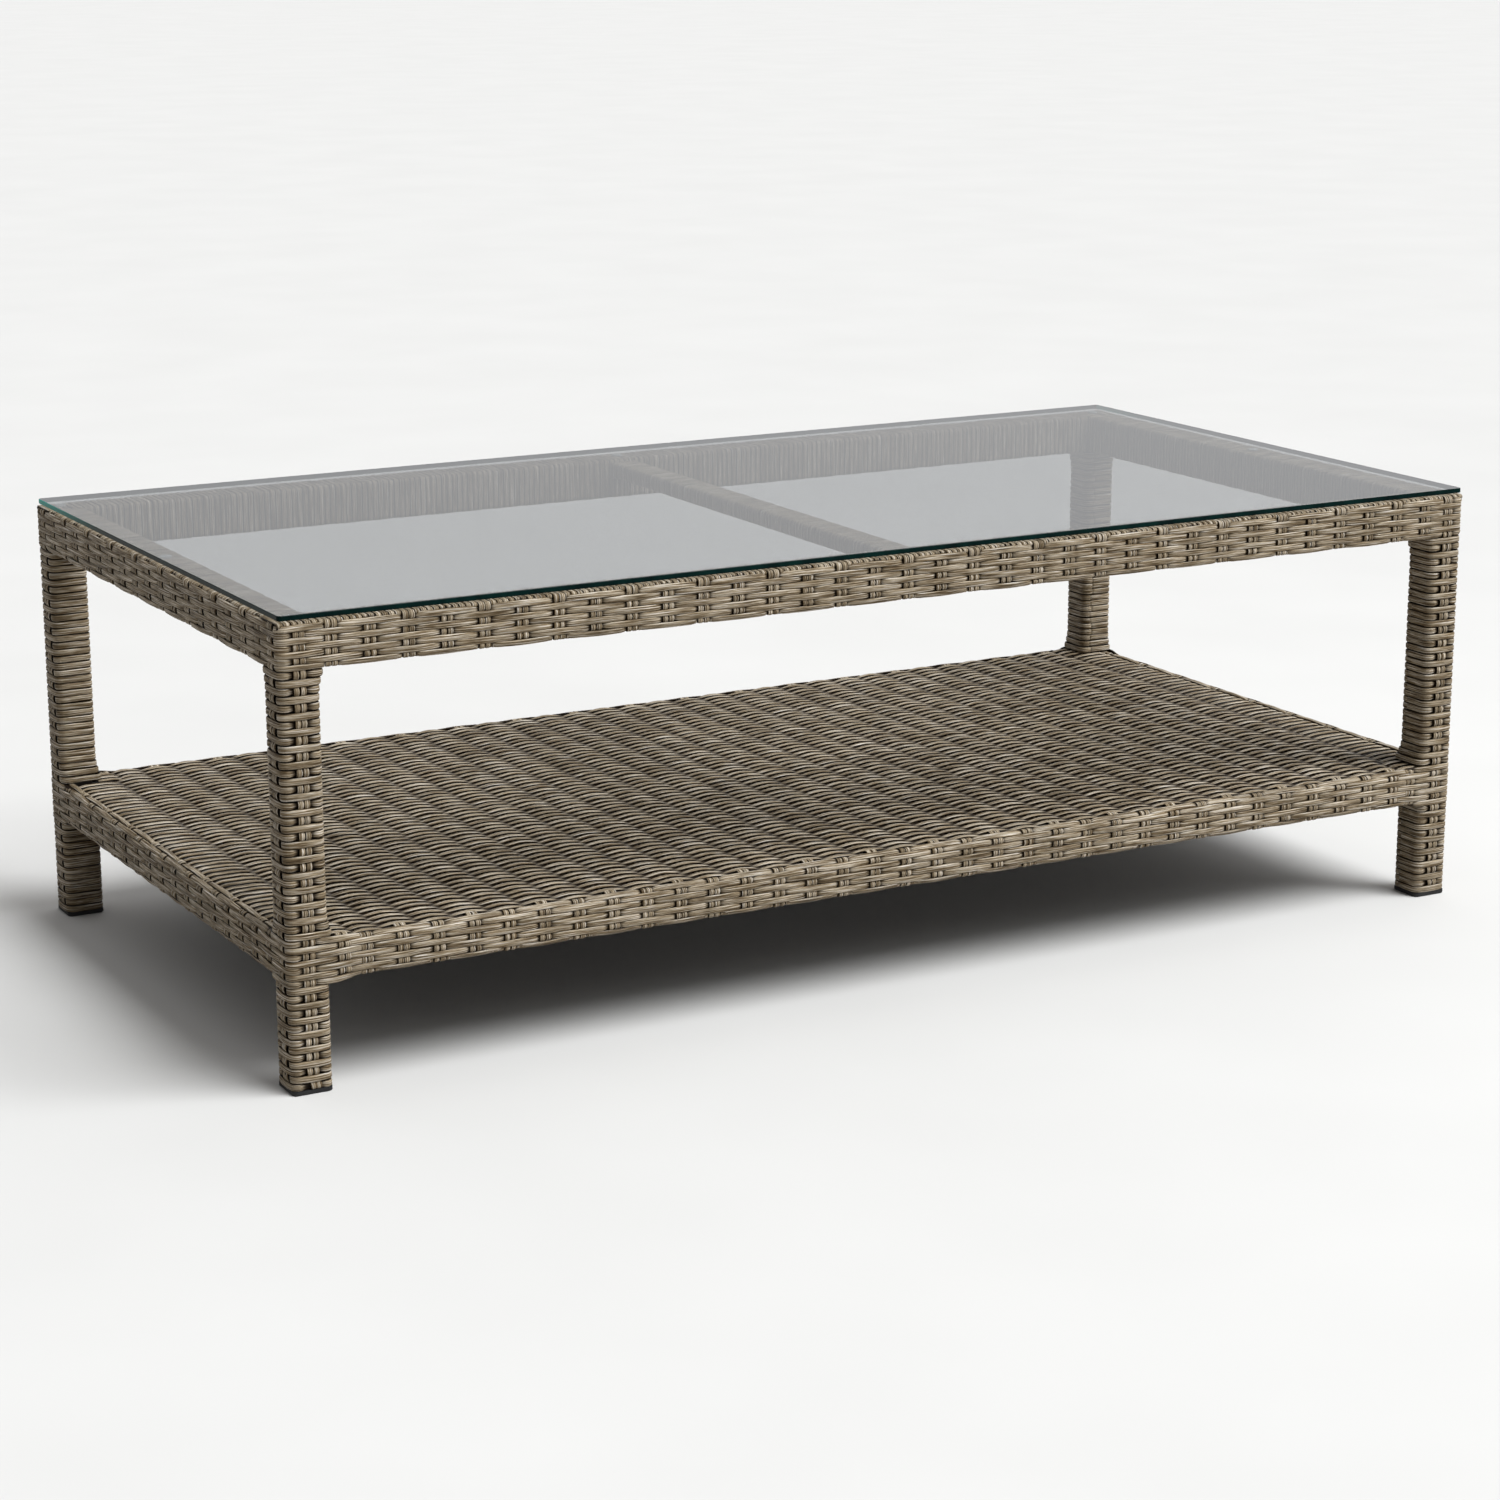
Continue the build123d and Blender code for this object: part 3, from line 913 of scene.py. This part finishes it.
def grained_material(name, dark, light, scale, roughness):
    """Moulded plastic or powder-coated metal: a fine grain with slight variation in tone and gloss."""
    nodes = Nodes(name)
    place = nodes.add("ShaderNodeTexCoord").outputs["Object"]
    grain = nodes.noise(place, scale, 4.0, 0.6)
    broad = nodes.noise(place, scale / 18, 2.0, 0.5)
    nodes.join(nodes.ramp(broad, [(0.35, dark), (0.65, light)]), nodes.surface.inputs["Base Color"])
    rough = nodes.ramp(grain, [(0.3, grey(roughness[0])), (0.7, grey(roughness[1]))])
    nodes.join(rough, nodes.surface.inputs["Roughness"])
    nodes.bump(grain, 0.35, GRAIN_DEPTH)
    return nodes.material


def pad_material():
    """Clear soft plastic with a milky cast."""
    nodes = Nodes("clear_pad")
    place = nodes.add("ShaderNodeTexCoord").outputs["Object"]
    cloud = nodes.noise(place, 900.0, 3.0, 0.6)
    colour = nodes.ramp(cloud, [(0.3, (0.72, 0.76, 0.75)), (0.7, (0.88, 0.90, 0.89))])
    nodes.join(colour, nodes.surface.inputs["Base Color"])
    rough = nodes.ramp(cloud, [(0.3, grey(0.10)), (0.7, grey(0.22))])
    nodes.join(rough, nodes.surface.inputs["Roughness"])
    nodes.surface.inputs["Transmission Weight"].default_value = 0.6
    nodes.bump(cloud, 0.2, GRAIN_DEPTH)
    return nodes.material


def glass_material():
    """Tempered glass: the faces show what is below through a light tint and mirror more at a flat angle,
    and the ground edge is deep green, with painted light on the end edges that turns them lighter teal
    towards the back, where light comes in at the back corners."""
    nodes = Nodes("top_glass")
    coordinates = nodes.add("ShaderNodeTexCoord")
    facing = nodes.add("ShaderNodeSeparateXYZ")
    nodes.join(coordinates.outputs["Normal"], facing.inputs["Vector"])
    place = nodes.add("ShaderNodeSeparateXYZ")
    nodes.join(coordinates.outputs["Object"], place.inputs["Vector"])
    upright = nodes.math("ABSOLUTE", facing.outputs["Z"])
    on_face = nodes.math("GREATER_THAN", upright, 0.8)

    weight = nodes.add("ShaderNodeLayerWeight")
    weight.inputs["Blend"].default_value = 0.5
    slant = weight.outputs["Facing"]
    tint = nodes.ramp(slant, [(0.0, (0.90, 0.915, 0.905)), (0.45, (0.82, 0.835, 0.83)),
                              (0.80, (0.70, 0.71, 0.712))])
    clear = nodes.add("ShaderNodeBsdfTransparent")
    nodes.join(tint, clear.inputs["Color"])
    mirror = nodes.add("ShaderNodeBsdfGlossy")
    mirror.inputs["Color"].default_value = (0.69, 0.70, 0.715, 1.0)
    mirror.inputs["Roughness"].default_value = 0.03
    one_face = nodes.math("ADD", nodes.math("MULTIPLY", nodes.math("POWER", slant, 5.0), 0.96), 0.04)
    both = nodes.math("DIVIDE", nodes.math("MULTIPLY", one_face, 2.0), nodes.math("ADD", one_face, 1.0))
    outside = nodes.math("SUBTRACT", 1.0, nodes.add("ShaderNodeNewGeometry").outputs["Backfacing"])
    shine = nodes.math("MULTIPLY", both, outside)
    pane = nodes.add("ShaderNodeMixShader")
    nodes.join(shine, pane.inputs[0])
    nodes.join(clear.outputs[0], pane.inputs[1])
    nodes.join(mirror.outputs[0], pane.inputs[2])

    # Painted light: the end edges are painted lighter teal towards the back, where light comes in at the
    # back corners.
    sideways = nodes.math("GREATER_THAN", nodes.math("ABSOLUTE", facing.outputs["X"]), 0.7)
    reach = nodes.add("ShaderNodeMapRange")
    reach.inputs["From Min"].default_value = 0.12
    reach.inputs["From Max"].default_value = glass_high.y
    nodes.join(place.outputs["Y"], reach.inputs["Value"])
    painted_edge_light = nodes.math("MULTIPLY", nodes.math("POWER", reach.outputs["Result"], 1.6), sideways)
    ripple = nodes.noise(coordinates.outputs["Object"], 60.0, 3.0, 0.6)
    deep = nodes.ramp(ripple, [(0.3, (0.0004, 0.006, 0.006)), (0.7, (0.001, 0.016, 0.014))])
    nodes.join(nodes.mix(painted_edge_light, deep, (0.050, 0.360, 0.310)), nodes.surface.inputs["Base Color"])
    nodes.surface.inputs["Roughness"].default_value = 0.12
    nodes.surface.inputs["Specular IOR Level"].default_value = 0.05
    ends = nodes.add("ShaderNodeMixShader")
    nodes.join(on_face, ends.inputs[0])
    nodes.join(nodes.surface.outputs[0], ends.inputs[1])
    nodes.join(pane.outputs[0], ends.inputs[2])
    nodes.join(ends.outputs[0], nodes.output.inputs["Surface"])
    nodes.bump(ripple, 0.05, 0.2 * MM)
    return nodes.material


def dress(node, material):
    """Gives a CAD node its finished material."""
    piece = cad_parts[node]
    piece.data.materials.clear()
    piece.data.materials.append(material)


# ---------------------------------------------------------------- building

strand = strand_material()
build_apron_rows(strand)
build_shelf_rows(strand)
for side_name in SIDES:
    build_top_rail(side_name, strand)
    build_shelf_rail(side_name, strand)
build_shelf_wefts(strand)
build_shelf_filling(strand)
build_cross_bar(strand)
for leg_name in LEGS:
    build_leg(leg_name, strand)

METAL_PARTS = ("leg_tube", "top_rail", "top_cross_bar", "shelf_rail", "shelf_bar")
coating = grained_material("frame_tube", (0.016, 0.012, 0.009), (0.030, 0.024, 0.018),
                           900.0, (0.42, 0.60))
plastic = grained_material("foot_plastic", (0.006, 0.006, 0.007), (0.014, 0.014, 0.015),
                           1400.0, (0.38, 0.62))
for node_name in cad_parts:
    if node_name.startswith("foot_cap"):
        dress(node_name, plastic)
    elif node_name.startswith(METAL_PARTS):
        dress(node_name, coating)
dress("glass_pads", pad_material())
dress("glass_top", glass_material())
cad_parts["glass_top"].visible_shadow = False


# ---------------------------------------------------------------- floor, lights and camera

FLOOR_HALF = 60.0
FLOOR_TONES = ((0.635, 0.627, 0.614), (0.655, 0.647, 0.634))
FLOOR_BOUNCE = (0.42, 0.405, 0.385)

LIGHT_COLOUR = (0.965, 0.985, 1.0)
KEY_PLACE = (1.8, -2.2, 4.1)
KEY_STRENGTH = 3.5
KEY_SPREAD = 40.0
PANEL_PLACE = (2.1, -1.7, 1.6)
PANEL_STRENGTH = 16.0
PANEL_SIZE = 1.2

# The room's light away from and towards its bright side, and the strength that it is seen with.
ROOM_TOWARDS = (0.85, 0.35, 0.25)
ROOM_LEVELS = (0.05, 0.82)
BACKDROP = 0.84

CAMERA_PLACE = (-1.7629, -3.1835, 1.0902)
CAMERA_PITCH = math.radians(90 - 14.203)
CAMERA_YAW = math.radians(-28.893)
CAMERA_ROLL = math.radians(-0.098)
LENS = 83.44
SENSOR = 36.0


def build_floor():
    """A pale floor that throws back less light than it shows, so that the sides turned away from
    the key keep their shade."""
    mesh = bpy.data.meshes.new("floor")
    corners = [(-FLOOR_HALF, -FLOOR_HALF), (FLOOR_HALF, -FLOOR_HALF),
               (FLOOR_HALF, FLOOR_HALF), (-FLOOR_HALF, FLOOR_HALF)]
    mesh.from_pydata([(*corner, foot_low.z) for corner in corners], [], [(0, 1, 2, 3)])
    floor = bpy.data.objects.new("floor", mesh)
    bpy.context.scene.collection.objects.link(floor)
    nodes = Nodes("pale_floor")
    place = nodes.add("ShaderNodeTexCoord").outputs["Object"]
    cloud = nodes.noise(place, 3.0, 2.0, 0.5)
    colour = nodes.ramp(cloud, [(0.3, FLOOR_TONES[0]), (0.7, FLOOR_TONES[1])])
    seen = nodes.add("ShaderNodeLightPath").outputs["Is Camera Ray"]
    nodes.join(nodes.mix(seen, FLOOR_BOUNCE, colour), nodes.surface.inputs["Base Color"])
    nodes.surface.inputs["Roughness"].default_value = 0.9
    mesh.materials.append(nodes.material)


def add_light(name, kind, place, strength):
    """A light aimed at the middle of the table's footprint."""
    light = bpy.data.lights.new(name, kind)
    light.energy = strength
    light.color = LIGHT_COLOUR
    lamp = bpy.data.objects.new(name, light)
    lamp.location = place
    lamp.rotation_euler = (-Vector(place)).to_track_quat("-Z", "Y").to_euler()
    bpy.context.scene.collection.objects.link(lamp)
    return lamp


def add_lights():
    """A wide soft key from the front right, which shows the relief of the weave, and a nearer panel."""
    key = add_light("key", "SUN", KEY_PLACE, KEY_STRENGTH)
    key.data.angle = math.radians(KEY_SPREAD)
    panel = add_light("panel", "AREA", PANEL_PLACE, PANEL_STRENGTH)
    panel.data.shape = "DISK"
    panel.data.size = PANEL_SIZE
    panel.visible_glossy = False


def build_world():
    """A white room, brighter towards the right and the back, behind an evenly pale backdrop."""
    world = bpy.data.worlds.new("studio")
    world.use_nodes = True
    tree = world.node_tree
    background = tree.nodes["Background"]
    direction = tree.nodes.new("ShaderNodeTexCoord").outputs["Generated"]
    towards = tree.nodes.new("ShaderNodeVectorMath")
    towards.operation = "DOT_PRODUCT"
    towards.inputs[1].default_value = ROOM_TOWARDS
    tree.links.new(direction, towards.inputs[0])
    level = tree.nodes.new("ShaderNodeMapRange")
    level.inputs["From Min"].default_value = -1.0
    level.inputs["From Max"].default_value = 1.0
    level.inputs["To Min"].default_value, level.inputs["To Max"].default_value = ROOM_LEVELS
    tree.links.new(towards.outputs["Value"], level.inputs["Value"])
    seen = tree.nodes.new("ShaderNodeLightPath").outputs["Is Camera Ray"]
    shown = tree.nodes.new("ShaderNodeMix")
    shown.inputs[3].default_value = BACKDROP
    tree.links.new(seen, shown.inputs[0])
    tree.links.new(level.outputs["Result"], shown.inputs[2])
    tree.links.new(shown.outputs[0], background.inputs["Strength"])
    background.inputs["Color"].default_value = (1.0, 1.0, 1.0, 1.0)
    bpy.context.scene.world = world


def build_camera():
    data = bpy.data.cameras.new("camera")
    data.lens = LENS
    data.sensor_width = SENSOR
    camera = bpy.data.objects.new("camera", data)
    camera.location = CAMERA_PLACE
    turn = Euler((CAMERA_PITCH, 0.0, CAMERA_YAW)).to_matrix() @ Euler((0.0, 0.0, CAMERA_ROLL)).to_matrix()
    camera.rotation_euler = turn.to_euler()
    bpy.context.scene.collection.objects.link(camera)
    bpy.context.scene.camera = camera


build_floor()
build_world()
add_lights()
build_camera()
bpy.context.scene.view_settings.view_transform = "Standard"
